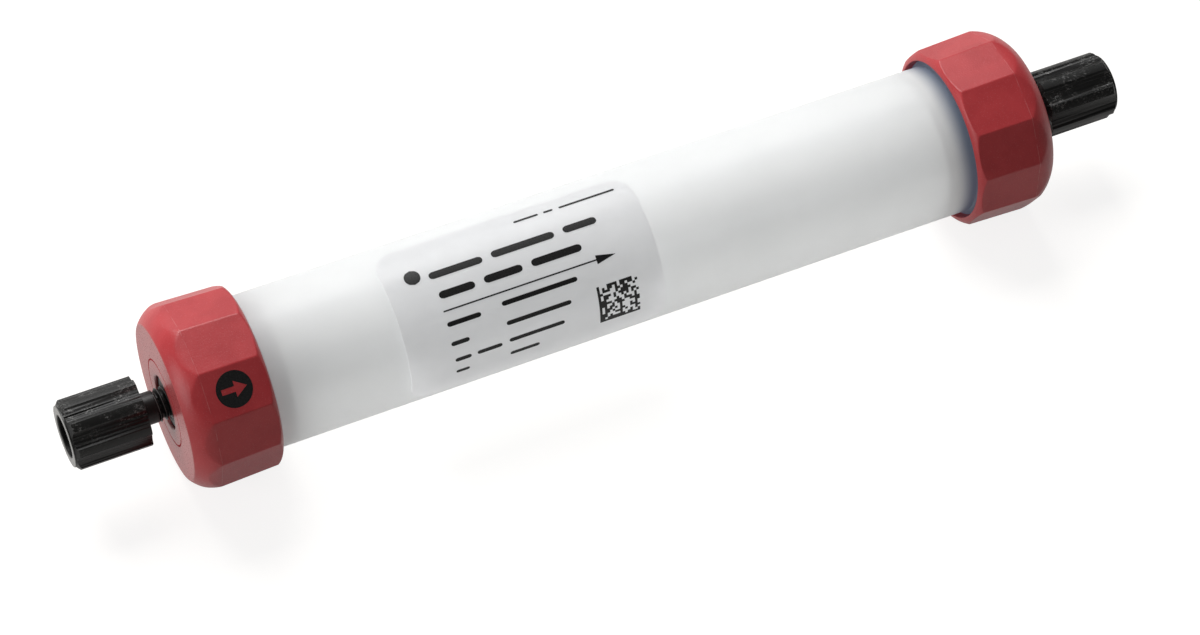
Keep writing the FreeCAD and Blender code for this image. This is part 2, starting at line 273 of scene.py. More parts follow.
@dataclass(frozen=True)
class ColumnPlace:
    """Where the column's axis and the outer faces of its caps lie in the frame, in metres."""

    inlet_face: float
    outlet_face: float
    height: float

    @classmethod
    def from_frame(cls) -> "ColumnPlace":
        """Read the place of the axis from the tube's box, and the faces from the caps' boxes.

        Returns:
            The column's place.
        """
        tube_low, tube_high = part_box("column_tube")
        return cls(
            inlet_face=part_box("inlet_screw_cap")[0][0],
            outlet_face=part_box("outlet_screw_cap")[1][0],
            height=(tube_low[2] + tube_high[2]) / 2.0,
        )

    def at(self, end: End, turned: float = 0.0) -> Matrix:
        """The placing of what was modelled at an end.

        Args:
            end: the end that the piece belongs to.
            turned: degrees about the axis, from +Y towards +Z.

        Returns:
            A matrix from millimetres on the piece's own axis to metres in the frame.
        """
        scale = Matrix.Scale(METRES_PER_MM, 4)
        swing = Matrix.Rotation(math.radians(turned), 4, "X")
        if end is End.INLET:
            return Matrix.Translation((self.inlet_face, 0.0, self.height)) @ swing @ scale
        about = Matrix.Rotation(math.pi, 4, "Z")
        return Matrix.Translation((self.outlet_face, 0.0, self.height)) @ swing @ about @ scale


@dataclass
class ScrewCap:
    """The red cap: drafted flats that curl in and run out in a round shoulder, over the end piece's hollow.

    Its outside is spun with round corners to spare, and each ring of it is then pressed in to the twelve
    flats, with soft arches where the flats meet the shoulder. The face_margin points stand beside the
    groove and beside the edge, and keep the face between them flat.
    """

    sides: int = 12
    length: float = 12.65
    corner_radius: float = 13.5
    face_radius: float = 11.25
    face_margin: Pair = (0.6, 0.7)
    face_edge_round: float = 0.35
    shoulder_length: float = 3.4
    shoulder_bulge: float = 0.38
    shoulder_steps: int = 30
    steps_past_corners: int = 8
    draft: float = 2.0
    run_out_start: float = 3.6
    run_out_radius: float = 5.5
    ridge_round: float = 0.6
    rim_round: float = 1.9
    rim_round_length: float = 1.85
    rim_radius: float = 13.45
    rim_steps: int = 20
    arch_blend: float = 0.05
    end_wall: float = 2.4
    end_wall_round: float = 0.3
    thread_bore_radius: float = 11.75
    mouth_radius: float = 11.9
    mouth_depth: float = 0.6
    mouth_round: float = 0.06
    hole_radius: float = 3.83
    hole_round: float = 0.3
    groove_radius: float = 6.25
    groove_width: float = 0.18
    groove_depth: float = 0.14
    blank_radius: float = 14.6
    blank_run: float = 0.4
    steps_per_side: int = 36
    steps_per_ridge: int = 12
    ridge_reach: float = 1.1
    smooth_below: float = 35.0
    turns: dict[End, float] = field(default_factory=lambda: {End.INLET: 270.0, End.OUTLET: 285.0})

    def flat_slope(self) -> float:
        """The angle in radians at which the flats lean in towards the rim."""
        return math.atan(math.tan(math.radians(self.draft)) * math.cos(math.pi / self.sides))

    def flat_distance(self, along: float) -> float:
        """How far the flats are from the axis: drafted to the rim, and curled in towards the face.

        Args:
            along: place from the cap's face.

        Returns:
            The distance in millimetres.
        """
        slope = self.flat_slope()
        highest = self.corner_radius * math.cos(math.pi / self.sides)
        if along >= self.run_out_start:
            return highest - (along - self.run_out_start) * math.tan(slope)
        centre_along = self.run_out_start - self.run_out_radius * math.sin(slope)
        centre_height = highest - self.run_out_radius * math.cos(slope)
        return centre_height + math.sqrt(self.run_out_radius**2 - (along - centre_along) ** 2)

    def shoulder(self) -> Outline:
        """Points of the bulging shoulder, from the face's edge to past the corners.

        Returns:
            The points, each a place along the axis and a radius.
        """
        start = Vector((0.0, self.face_radius))
        chord = Vector((self.shoulder_length, self.corner_radius)) - start
        half = chord.length / 2.0
        radius = (half**2 + self.shoulder_bulge**2) / (2.0 * self.shoulder_bulge)
        outwards = Vector((-chord.y, chord.x)).normalized()
        centre = start + chord / 2.0 - outwards * (radius - self.shoulder_bulge)
        first = math.atan2(start.y - centre.y, start.x - centre.x)
        sweep = 2.0 * math.asin(half / radius)
        points: Outline = []
        for number in range(self.shoulder_steps + self.steps_past_corners):
            angle = first - sweep * number / self.shoulder_steps
            points.append((centre.x + radius * math.cos(angle), centre.y + radius * math.sin(angle)))
        return points

    def rim(self) -> Outline:
        """Points of the turned round beside the tube, from the flats to the end of the cap.

        Returns:
            The points, each a place along the axis and a radius.
        """
        start = self.length - self.rim_round_length
        sweep = math.asin(self.rim_round_length / self.rim_round)
        points: Outline = []
        for step in range(self.rim_steps + 1):
            angle = sweep * step / self.rim_steps
            lowered = self.rim_round * (1.0 - math.cos(angle))
            points.append((start + self.rim_round * math.sin(angle), self.rim_radius - lowered))
        return points

    def outline(self) -> Outline:
        """The section of the blank, hollow and hole included, as one closed line.

        Returns:
            The section's points.
        """
        shoulder = self.shoulder()
        rim = self.rim()
        groove_half = self.groove_width / 2.0
        inner_margin, outer_margin = self.face_margin
        inside = round_corners(
            [
                (*rim[-1], 0.0),
                (self.length, self.mouth_radius, self.mouth_round),
                (self.length - self.mouth_depth, self.thread_bore_radius, 0.0),
                (self.end_wall, self.thread_bore_radius, self.end_wall_round),
                (self.end_wall, self.hole_radius, 0.0),
                (0.0, self.hole_radius, self.hole_round),
                (0.0, self.groove_radius - groove_half, 0.0),
                (self.groove_depth, self.groove_radius, 0.0),
                (0.0, self.groove_radius + groove_half, 0.0),
                (0.0, self.groove_radius + inner_margin, 0.0),
                (0.0, self.face_radius - outer_margin, 0.0),
                (*shoulder[0], self.face_edge_round),
                (*shoulder[2], 0.0),
            ],
            segments=6,
        )
        blank = [(shoulder[-1][0] + self.blank_run, self.blank_radius), (rim[0][0], self.blank_radius)]
        return inside + shoulder[3:] + blank + rim[:-1]

    def angle_of_step(self, step: int) -> float:
        """Turn a step of the spin into an angle, with the steps closer together at the ridges.

        Args:
            step: the step's number, from 0 at the first ridge.

        Returns:
            Degrees from the first ridge.
        """
        sector, place = divmod(step, self.steps_per_side)
        width = 360.0 / self.sides
        centred = place if place <= self.steps_per_side / 2 else place - self.steps_per_side
        near = self.steps_per_ridge / 2.0
        if abs(centred) <= near:
            turned = centred / near * self.ridge_reach
        else:
            share = (abs(centred) - near) / (self.steps_per_side / 2.0 - near)
            turned = math.copysign(self.ridge_reach + share * (width / 2.0 - self.ridge_reach), centred)
        return sector * width + turned + (width if centred < 0 else 0.0)

    def flats_radius(self, along: float, turned: float) -> float:
        """Radius of the twelve-sided outside with rounded ridges.

        Args:
            along: place from the cap's face.
            turned: degrees from a ridge.

        Returns:
            The radius in millimetres.
        """
        half = math.pi / self.sides
        apothem = self.flat_distance(along)
        from_ridge = math.radians((turned + 180.0 / self.sides) % (360.0 / self.sides) - 180.0 / self.sides)
        rounding = min(self.ridge_round, apothem)
        centre = (apothem - rounding) / math.cos(half)
        reach = math.atan2(rounding * math.sin(half), centre + rounding * math.cos(half))
        if abs(from_ridge) <= reach:
            lateral = centre * math.sin(from_ridge)
            return centre * math.cos(from_ridge) + math.sqrt(rounding**2 - lateral**2)
        return apothem / math.cos(half - abs(from_ridge))

    def press_flats(self, cap: bpy.types.Object) -> None:
        """Move the outside of the blank in to the flats, and gather its steps at the ridges.

        Args:
            cap: the turned blank, which is changed.
        """
        steps = self.sides * self.steps_per_side
        for vertex in cap.data.vertices:
            along, radius = vertex.co.x, math.hypot(vertex.co.y, vertex.co.z)
            step = round(math.atan2(vertex.co.z, vertex.co.y) / TAU * steps) % steps
            turned = self.angle_of_step(step)
            if radius > self.mouth_radius + self.mouth_round:
                flat = self.flats_radius(along, turned)
                near = max(0.0, min(1.0, 0.5 + 0.5 * (flat - radius) / self.arch_blend))
                radius = flat + (radius - flat) * near - self.arch_blend * near * (1.0 - near)
            vertex.co.y = radius * math.cos(math.radians(turned))
            vertex.co.z = radius * math.sin(math.radians(turned))
        cap.data.update()

    def build(self, column: ColumnPlace, material: bpy.types.Material) -> None:
        """Model the cap once, and place it at both ends.

        Args:
            column: where the column lies.
            material: the caps' finish.
        """
        cap = turn("inlet_cap_shell", self.outline(), self.sides * self.steps_per_side)
        self.press_flats(cap)
        soften(cap, self.smooth_below)
        for end, piece in ((End.INLET, cap), (End.OUTLET, twin(cap, "outlet_cap_shell"))):
            complete(piece, column.at(end, self.turns[end]), material)
            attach(piece, "column")
            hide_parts(end.value + "_screw_cap")


@dataclass
class CapMark:
    """A plain round mark on one flat of the inlet cap, with an arrow left clear that shows the flow."""

    cap: ScrewCap
    along: float = 7.43
    aside: float = -0.15
    radius: float = 2.55
    thickness: float = 0.03
    turned: float = 135.0
    shaft: Pair = (1.9, 0.8)
    head: Pair = (1.75, 2.3)
    steps: int = 96

    def arrow(self) -> bpy.types.Object:
        """The arrow's outline as a thick plate, for cutting.

        Returns:
            The plate, centred on the disc that it cuts.
        """
        (shaft_length, shaft_width), (head_length, head_width) = self.shaft, self.head
        tail = -(shaft_length + head_length) / 2.0
        neck = tail + shaft_length
        low, high = -1.0, 1.0
        outline = [
            (tail, -shaft_width / 2.0),
            (neck, -shaft_width / 2.0),
            (neck, -head_width / 2.0),
            (neck + head_length, 0.0),
            (neck, head_width / 2.0),
            (neck, shaft_width / 2.0),
            (tail, shaft_width / 2.0),
        ]
        piece = new_piece("arrow", [(x, y, low) for x, y in outline], [], [list(range(len(outline)))])
        with edit_mode(piece):
            bpy.ops.mesh.extrude_region_move(TRANSFORM_OT_translate={"value": (0.0, 0.0, high - low)})
        return piece

    def build(self, column: ColumnPlace, material: bpy.types.Material) -> None:
        """Cut the disc and lay it on the flat.

        Args:
            column: where the column lies.
            material: the mark's ink.
        """
        bpy.ops.object.select_all(action="DESELECT")
        bpy.ops.mesh.primitive_cylinder_add(vertices=self.steps, radius=self.radius, depth=self.thickness)
        mark = bpy.context.object
        mark.name = "inlet_cap_flow_mark"
        combine(mark, self.arrow(), "DIFFERENCE")
        lean = Matrix.Rotation(-self.cap.flat_slope(), 4, "Z") @ Matrix.Rotation(-math.pi / 2.0, 4, "X")
        lay = Matrix.Translation((self.along, self.cap.flat_distance(self.along), self.aside)) @ lean
        complete(mark, column.at(End.INLET, self.turned) @ lay, material)
        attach(mark, "column")


@dataclass
class Thread:
    """A 60 degree screw thread about the X axis, with the corners of its crests cut back a little."""

    pitch: float = 0.79375
    flank_angle: float = 30.0
    corner_cut: float = 0.1
    steps: int = 48
    weld: float = 0.001

    def profile(self, root: float, crest: float) -> Outline:
        """One turn of the thread's section.

        Args:
            root: the radius at the bottom of the thread.
            crest: the radius over the thread.

        Returns:
            Points along one pitch, from root to root.
        """
        height = crest - root
        flank = height * math.tan(math.radians(self.flank_angle))
        flat = self.pitch / 8.0
        rise = self.pitch - flat - 2.0 * flank
        corner = crest - height * self.corner_cut
        return [
            (0.0, root),
            (rise, root),
            (rise + flank * (1.0 - self.corner_cut), corner),
            (rise + flank + flat * 0.25, crest),
            (rise + flank + flat * 0.75, crest),
            (rise + flank * (1.0 + self.corner_cut) + flat, corner),
            (self.pitch, root),
        ]

    def rod(self, name: str, root: float, crest: float, start: float, end: float) -> bpy.types.Object:
        """A threaded rod, cut off square at both ends.

        Args:
            name: the new object's name.
            root: the radius at the bottom of the thread.
            crest: the radius over the thread.
            start: where the rod starts along the axis.
            end: where it ends.

        Returns:
            The rod as a closed solid.
        """
        first = start - 1.5 * self.pitch
        points = [(first + along, 0.0, radius) for along, radius in self.profile(root, crest)]
        piece = new_piece(name, points, [(number, number + 1) for number in range(len(points) - 1)], [])
        apply_modifier(
            piece,
            "SCREW",
            axis="X",
            angle=TAU,
            screw_offset=self.pitch,
            iterations=math.ceil((end - start) / self.pitch) + 3,
            steps=self.steps,
            render_steps=self.steps,
            use_merge_vertices=True,
            merge_threshold=self.weld,
        )
        with edit_mode(piece):
            bpy.ops.mesh.remove_doubles(threshold=self.weld)
            for plane, inner in ((start, True), (end, False)):
                bpy.ops.mesh.select_all(action="SELECT")
                bpy.ops.mesh.bisect(
                    plane_co=(plane, 0.0, 0.0),
                    plane_no=(1.0, 0.0, 0.0),
                    use_fill=True,
                    clear_inner=inner,
                    clear_outer=not inner,
                )
        return piece


@dataclass
class StopPlug:
    """The black plug: fluted head with a collar and a deep blind hole, neck, threaded shank and tip.

    Each pair, of rounds or of the flutes' overrun, names the end that is further from the bed first.
    """

    thread: Thread
    head_radius: float = 5.0
    head_length: float = 11.0
    head_rounds: Pair = (0.20, 0.06)
    standoff: float = 3.45
    collar_radius: float = 4.42
    collar_length: float = 0.25
    collar_rounds: Pair = (0.10, 0.05)
    land_chamfer_length: float = 0.45
    flutes: int = 8
    flute_radius: float = 2.8
    flute_depth: float = 0.52
    flute_overrun: Pair = (1.99, 0.01)
    flute_steps: int = 96
    bore_radius: float = 3.03
    bore_floor_radius: float = 2.87
    bore_depth: float = 9.0
    bore_rounds: Pair = (0.28, 0.4)
    neck_radius: float = 2.28
    neck_length: float = 2.0
    neck_rounds: Pair = (0.08, 0.10)
    neck_end_inset: float = 0.3
    thread_crest: float = 2.365
    thread_root: float = 1.90
    thread_end: float = 8.13
    thread_chamfer: float = 0.4
    cone_radius: float = 1.64
    cone_sunk: float = 0.5
    tip_radius: float = 0.75
    tip_end: float = 10.5
    edge_width: float = 0.07
    edge_angle: float = 38.0
    smooth_below: float = 40.0
    steps: int = 160
    turns: dict[End, float] = field(default_factory=lambda: {End.INLET: 30.9, End.OUTLET: 9.6})

    def length_outside(self) -> float:
        """How far the plug reaches past the cap's face."""
        return self.standoff + self.head_length

    def body(self) -> bpy.types.Object:
        """The turned head with its blind hole, and the neck.

        Returns:
            The turned solid.
        """
        inner = -self.standoff
        outer = -self.length_outside()
        collar_end = outer + self.collar_length
        floor = outer + self.bore_depth
        neck_end = inner + self.neck_length
        outline = round_corners(
            [
                (outer, self.bore_radius, self.bore_rounds[0]),
                (outer, self.collar_radius, self.collar_rounds[0]),
                (collar_end, self.collar_radius, self.collar_rounds[1]),
                (collar_end + self.land_chamfer_length, self.head_radius, self.head_rounds[0]),
                (inner, self.head_radius, self.head_rounds[1]),
                (inner, self.neck_radius, self.neck_rounds[0]),
                (neck_end, self.neck_radius, self.neck_rounds[1]),
                (neck_end, self.thread_root - self.neck_end_inset, 0.0),
                (neck_end, 0.0, 0.0),
                (floor, 0.0, 0.0),
                (floor, self.bore_floor_radius, self.bore_rounds[1]),
            ],
            segments=4,
        )
        return turn("plug_head", outline, self.steps)

    def head(self) -> bpy.types.Object:
        """The head and neck, cut by round flutes that run out through the collar.

        Returns:
            The solid.
        """
        body = self.body()
        start = -self.length_outside() - self.flute_overrun[0]
        end = -self.standoff + self.flute_overrun[1]
        centre = self.head_radius - self.flute_depth + self.flute_radius
        for number in range(self.flutes):
            angle = (number + 0.5) * TAU / self.flutes
            bpy.ops.object.select_all(action="DESELECT")
            bpy.ops.mesh.primitive_cylinder_add(
                vertices=self.flute_steps,
                radius=self.flute_radius,
                depth=end - start,
                location=((start + end) / 2.0, centre * math.cos(angle), centre * math.sin(angle)),
                rotation=(0.0, math.pi / 2.0, 0.0),
            )
            combine(body, bpy.context.object, "DIFFERENCE")
        return body

    def shank(self) -> bpy.types.Object:
        """The threaded shank, its last turn cut back by a chamfer, with its coned tip.

        Returns:
            The solid.
        """
        sunk, spare, lead = 0.02, 0.1, 1.0
        start = self.neck_length - self.standoff - sunk
        rod = self.thread.rod("plug_shank", self.thread_root, self.thread_crest, start, self.thread_end)
        blank = [
            (start - lead, 0.0),
            (start - lead, self.thread_crest + spare),
            (self.thread_end - self.thread_chamfer, self.thread_crest + spare),
            (self.thread_end + spare, self.thread_crest - self.thread_chamfer),
            (self.thread_end + spare, 0.0),
        ]
        combine(rod, turn("shank_blank", blank, self.steps), "INTERSECT")
        cone = [
            (self.thread_end - self.cone_sunk, 0.0),
            (self.thread_end - self.cone_sunk, self.cone_radius),
            (self.thread_end, self.cone_radius),
            (self.tip_end, self.tip_radius),
            (self.tip_end, 0.0),
        ]
        combine(rod, turn("plug_cone", cone, self.steps), "UNION")
        return rod

    def build(self, column: ColumnPlace, material: bpy.types.Material) -> None:
        """Model the plug once, and place it in both ports.

        Args:
            column: where the column lies.
            material: the plugs' finish.
        """
        plug = self.head()
        combine(plug, self.shank(), "UNION")
        plug.name = "inlet_plug_shell"
        apply_modifier(
            plug,
            "BEVEL",
            width=self.edge_width,
            segments=2,
            limit_method="ANGLE",
            angle_limit=math.radians(self.edge_angle),
            use_clamp_overlap=True,
        )
        soften(plug, self.smooth_below)
        for end, piece in ((End.INLET, plug), (End.OUTLET, twin(plug, "outlet_plug_shell"))):
            complete(piece, column.at(end, self.turns[end]), material)
            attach(piece, end.value + "_plug")
            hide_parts(end.value + "_stop_plug")


@dataclass
class Print:
    """Thin ink shapes on the label, drawn flat and wrapped round the tube.

    Places on the label are millimetres along the column from the inlet cap's face, and degrees about
    the axis from the line that faces the reader, growing downwards.
    """

    radius: float = 11.1
    sink: float = 0.002
    thickness: float = 0.014
    reader_turn: float = 128.7
    step_degrees: float = 1.0

    def wrap(self, name: str, faces: list[Outline]) -> bpy.types.Object:
        """Make ink from flat faces.

        Args:
            name: the new object's name.
            faces: outlines of corners, each a place along and an angle.

        Returns:
            The ink as a closed thin solid, in millimetres on the inlet's axis.
        """
        vertices: list[Triple] = []
        polygons: list[list[int]] = []
        reach = self.radius - self.sink
        for outline in faces:
            polygons.append(list(range(len(vertices), len(vertices) + len(outline))))
            for along, angle in outline:
                turned = math.radians(angle + self.reader_turn)
                vertices.append((along, reach * math.cos(turned), reach * math.sin(turned)))
        piece = new_piece(name, vertices, [], polygons)
        with edit_mode(piece):
            bpy.ops.mesh.remove_doubles(threshold=WELD_MM)
        for polygon in piece.data.polygons:
            outwards = Vector((0.0, polygon.center.y, polygon.center.z))
            if polygon.normal.dot(outwards) < 0.0:
                polygon.flip()
        piece.data.update()
        apply_modifier(piece, "SOLIDIFY", thickness=self.thickness, offset=1.0)
        return piece

    def bar(self, start: float, end: float, top: float, bottom: float) -> list[Outline]:
        """One straight bar, divided so that it follows the tube.

        Args:
            start: where it starts along the column.
            end: where it ends.
            top: the angle of its upper edge.
            bottom: the angle of its lower edge.

        Returns:
            The bar's faces.
        """
        count = max(1, math.ceil((bottom - top) / self.step_degrees))
        faces = []
        for number in range(count):
            upper = top + (bottom - top) * number / count
            lower = top + (bottom - top) * (number + 1) / count
            faces.append([(start, upper), (end, upper), (end, lower), (start, lower)])
        return faces

    def round_bar(self, start: float, end: float, top: float, bottom: float, strips: int) -> list[Outline]:
        """One bar with round ends, or a disc where it is as long as it is high.

        Args:
            start: where it starts along the column.
            end: where it ends.
            top: the angle of its upper edge.
            bottom: the angle of its lower edge.
            strips: how many strips it is drawn in.

        Returns:
            The bar's faces.
        """
        middle, half = (top + bottom) / 2.0, (bottom - top) / 2.0
        end_round = math.radians(half) * self.radius
        faces = []
        for number in range(strips):
            upper, lower = (-1.0 + 2.0 * edge / strips for edge in (number, number + 1))
            above, below = (end_round * (1.0 - math.sqrt(max(0.0, 1.0 - y**2))) for y in (upper, lower))
            faces.append(
                [
                    (start + above, middle + half * upper),
                    (end - above, middle + half * upper),
                    (end - below, middle + half * lower),
                    (start + below, middle + half * lower),
                ]
            )
        return faces


@dataclass
class LabelPrint:
    """What is printed on the label: a flow arrow, plain bars for its lines of words, and a dotted block.

    A bar, and the block, is its start and end along the column and the angles of its upper and lower
    edge. The arrow is its start, its tip and its angle, and the spot its place, its angle and its radius.
    """

    drawing: Print
    arrow: Triple = (38.45, 64.2, 2.7)
    arrow_line: float = 1.1
    arrow_head: Pair = (2.9, 6.6)
    arrow_strips: int = 4
    title_bars: tuple[Bar, ...] = (
        (38.3, 46.2, -28.2, -21.2),
        (47.6, 57.0, -28.8, -21.8),
        (58.4, 63.4, -29.2, -22.2),
        (38.6, 43.9, -12.4, -5.4),
        (45.3, 51.0, -12.8, -5.8),
        (52.4, 59.9, -13.2, -6.2),
    )
    small_bars: tuple[Bar, ...] = (
        (52.7, 56.4, -47.6, -45.2),
        (57.2, 58.6, -47.5, -45.1),
        (59.5, 67.9, -47.2, -44.8),
    )
    row_bars: tuple[Bar, ...] = (
        (38.4, 43.4, 10.4, 14.8),
        (46.6, 57.9, 8.7, 13.1),
        (38.3, 41.0, 25.4, 29.6),
        (46.6, 56.3, 23.8, 28.0),
        (38.5, 40.9, 39.6, 43.6),
        (41.8, 45.5, 39.4, 43.4),
        (46.6, 54.9, 38.3, 42.3),
        (38.5, 40.5, 51.5, 55.0),
        (46.6, 51.0, 51.4, 55.4),
    )
    weight: float = 0.80
    word_strips: int = 8
    spot: Triple = (36.1, -28.2, 1.15)
    spot_strips: int = 10
    block: Bar = (60.2, 66.3, 22.0, 54.2)
    block_cells: int = 16
    block_gaps: float = 0.52
    seed: int = 41

    def arrow_faces(self) -> list[Outline]:
        """The flow arrow: a thin line and a slender head.

        Returns:
            The arrow's faces.
        """
        start, tip, angle = self.arrow
        length, width = self.arrow_head
        neck = tip - length
        line_half = self.arrow_line / 2.0
        faces = self.drawing.bar(start, neck, angle - line_half, angle + line_half)
        for strip in range(self.arrow_strips):
            upper, lower = strip / self.arrow_strips, (strip + 1) / self.arrow_strips
            for side in (-1.0, 1.0):
                half = side * width / 2.0
                faces.append(
                    [
                        (neck, angle + half * upper),
                        (neck + length * (1.0 - upper), angle + half * upper),
                        (neck + length * (1.0 - lower), angle + half * lower),
                        (neck, angle + half * lower),
                    ]
                )
        return faces

    def block_faces(self) -> list[Outline]:
        """A square block of cells, filled by a seeded draw, with two solid sides.

        Returns:
            The faces of the filled cells.
        """
        start, end, top, bottom = self.block
        draw = random.Random(self.seed)
        cells = self.block_cells
        faces = []
        for row in range(cells):
            for column in range(cells):
                solid = column == 0 or row == cells - 1
                if not solid and draw.random() < self.block_gaps:
                    continue
                left = start + (end - start) * column / cells
                right = start + (end - start) * (column + 1) / cells
                upper = top + (bottom - top) * row / cells
                lower = top + (bottom - top) * (row + 1) / cells
                faces += self.drawing.bar(left, right, upper, lower)
        return faces

    def word_faces(self, bars: tuple[Bar, ...]) -> list[Outline]:
        """Words as bars with round ends, as heavy as lines of letters look.

        Args:
            bars: start, end, upper and lower edge of the space of each word.

        Returns:
            The faces of all the bars.
        """
        faces = []
        for start, end, top, bottom in bars:
            middle, half = (top + bottom) / 2.0, (bottom - top) / 2.0 * self.weight
            faces += self.drawing.round_bar(start, end, middle - half, middle + half, self.word_strips)
        return faces

    def spot_faces(self) -> list[Outline]:
        """A plain round spot where the title starts.

        Returns:
            The spot's faces.
        """
        along, angle, radius = self.spot
        swing = math.degrees(radius / self.drawing.radius)
        edges = (along - radius, along + radius, angle - swing, angle + swing)
        return self.drawing.round_bar(*edges, self.spot_strips)

    def build(self, column: ColumnPlace, material: bpy.types.Material) -> None:
        """Draw each group of print as one piece on the label.

        Args:
            column: where the column lies.
            material: the label's ink.
        """
        groups = {
            "label_flow_arrow": self.arrow_faces(),
            "label_dotted_block": self.block_faces(),
            "label_round_spot": self.spot_faces(),
            "label_title_bars": self.word_faces(self.title_bars),
            "label_small_bars": self.word_faces(self.small_bars),
            "label_row_bars": self.word_faces(self.row_bars),
        }
        for name, faces in groups.items():
            piece = self.drawing.wrap(name, faces)
            complete(piece, column.at(End.INLET), material)
            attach(piece, "column")


class Wiring:
    """A short way to place and join nodes in one node tree."""

    def __init__(self, tree: bpy.types.NodeTree) -> None:
        """Keep the tree that is worked on."""
        self.tree = tree

    def give(self, value: object, socket: Socket) -> None:
        """Link an output socket to an input socket, or set the input to a plain value.

        Args:
            value: the output socket or the value.
            socket: the input socket.
        """
        if isinstance(value, Socket):
            self.tree.links.new(value, socket)
        else:
            socket.default_value = value

    def node(
        self, kind: str, links: dict[int | str, object] | None = None, **settings: object
    ) -> bpy.types.Node:
        """Add a node.

        Args:
            kind: the node's type, without the ShaderNode in front.
            links: for each input, by name or number, a value or the output socket that feeds it.
            settings: the node's properties by name.

        Returns:
            The new node.
        """
        made = self.tree.nodes.new("ShaderNode" + kind)
        for name, value in settings.items():
            setattr(made, name, value)
        for key, value in (links or {}).items():
            self.give(value, made.inputs[key])
        return made

    def math(self, operation: str, *values: object) -> Socket:
        """The output of one sum on values or sockets."""
        return self.node("Math", dict(enumerate(values)), operation=operation).outputs[0]

    def ramp(self, value: Socket, low: float, high: float) -> Socket:
        """How far a value has gone from low to high, smoothly, from 0 to 1."""
        links = {"Value": value, "From Min": low, "From Max": high}
        return self.node("MapRange", links, interpolation_type="SMOOTHSTEP").outputs[0]

    def spread(self, value: Socket, low: float, high: float) -> Socket:
        """Stretch a value that runs from 0 to 1 so that it runs from low to high."""
        return self.node("MapRange", {"Value": value, "To Min": low, "To Max": high}).outputs[0]

    def blend(self, mask: Socket, first: object, second: object) -> Socket:
        """Go from one colour to another as a mask goes from 0 to 1."""
        return self.node("Mix", {0: mask, 6: first, 7: second}, data_type="RGBA").outputs[2]

    def in_view(self) -> Socket:
        """A mask of the rays that come from the camera, also through a clear piece."""
        rays = self.node("LightPath").outputs
        return self.math("MAXIMUM", rays["Is Camera Ray"], rays["Is Transmission Ray"])


class Effect(Wiring):
    """A node group under way, which reads a place and puts out plain values."""

    def __init__(self, name: str, inputs: dict[str, float], outputs: tuple[str, ...]) -> None:
        """Start the group.

        Args:
            name: the group's name.
            inputs: name and default value of each input beside the place.
            outputs: name of each output.
        """
        super().__init__(bpy.data.node_groups.new(name, "ShaderNodeTree"))
        sockets = self.tree.interface
        sockets.new_socket("Place", in_out="INPUT", socket_type="NodeSocketVector")
        for title, value in inputs.items():
            socket = sockets.new_socket(title, in_out="INPUT", socket_type="NodeSocketFloat")
            socket.default_value = value
        for title in outputs:
            sockets.new_socket(title, in_out="OUTPUT", socket_type="NodeSocketFloat")
        self.given = self.tree.nodes.new("NodeGroupInput").outputs
        self.results = self.tree.nodes.new("NodeGroupOutput").inputs

    def per_metre(self, size: str) -> Socket:
        """The scale of a pattern whose size in millimetres is an input of the group."""
        return self.math("DIVIDE", MM_PER_METRE, self.given[size])

    def noise(self, scale: Socket, detail: float, roughness: float, place: Socket | None = None) -> Socket:
        """A cloudy noise.

        Args:
            scale: how many clouds a metre holds.
            detail: how many finer layers it has.
            roughness: how strong the finer layers are.
            place: where it is read, if not at the group's own place.

        Returns:
            Its value, around one half.
        """
        links = {"Vector": place or self.given["Place"], "Scale": scale, "Detail": detail}
        return self.node("TexNoise", {**links, "Roughness": roughness}).outputs[0]


def moulded_grain() -> bpy.types.NodeTree:
    """The fine grain of a moulded surface: a height for bump, and the flecks that catch the light.

    Returns:
        The node group.
    """
    effect = Effect("Moulded grain", {"Grains per mm": 4.0}, ("Height", "Flecks"))
    grains = effect.math("MULTIPLY", effect.given["Grains per mm"], MM_PER_METRE)
    links = {"Vector": effect.given["Place"], "Scale": effect.math("MULTIPLY", grains, 0.8)}
    cells = effect.node("TexVoronoi", links)
    effect.give(effect.noise(grains, detail=2.0, roughness=0.6), effect.results["Height"])
    effect.give(effect.ramp(cells.outputs["Distance"], low=0.30, high=0.06), effect.results["Flecks"])
    return effect.tree


def uneven_tone() -> bpy.types.NodeTree:
    """Slow unevenness of a moulded colour, as a value around one half.

    Returns:
        The node group.
    """
    effect = Effect("Uneven tone", {"Patch mm": 6.0}, ("Tone",))
    cloud = effect.noise(effect.per_metre("Patch mm"), detail=3.0, roughness=0.55)
    effect.give(cloud, effect.results["Tone"])
    return effect.tree


def rub_marks() -> bpy.types.NodeTree:
    """Speckled rub marks: dense inside patches, and none outside them.

    Returns:
        The node group.
    """
    effect = Effect("Rub marks", {"Speck mm": 0.25, "Patch mm": 3.0, "Cover": 0.5}, ("Mask",))
    links = {"Vector": effect.given["Place"], "Scale": (0.75, 1.0, 1.0)}
    drawn_out = effect.node("Mapping", links).outputs[0]
    specks = effect.noise(effect.per_metre("Speck mm"), detail=4.0, roughness=0.7, place=drawn_out)
    patches = effect.noise(effect.per_metre("Patch mm"), detail=1.0, roughness=0.5)
    threshold = effect.math("SUBTRACT", 1.0, effect.given["Cover"])
    inside = effect.ramp(effect.math("SUBTRACT", patches, threshold), low=-0.08, high=0.12)
    dense = effect.ramp(specks, low=0.50, high=0.68)
    effect.give(effect.math("MULTIPLY", inside, dense), effect.results["Mask"])
    return effect.tree


@dataclass(frozen=True)
class Effects:
    """The node groups that the finishes share."""

    grain: bpy.types.NodeTree
    tone: bpy.types.NodeTree
    rubs: bpy.types.NodeTree

    @classmethod
    def build(cls) -> "Effects":
        """Make each group once."""
        return cls(moulded_grain(), uneven_tone(), rub_marks())


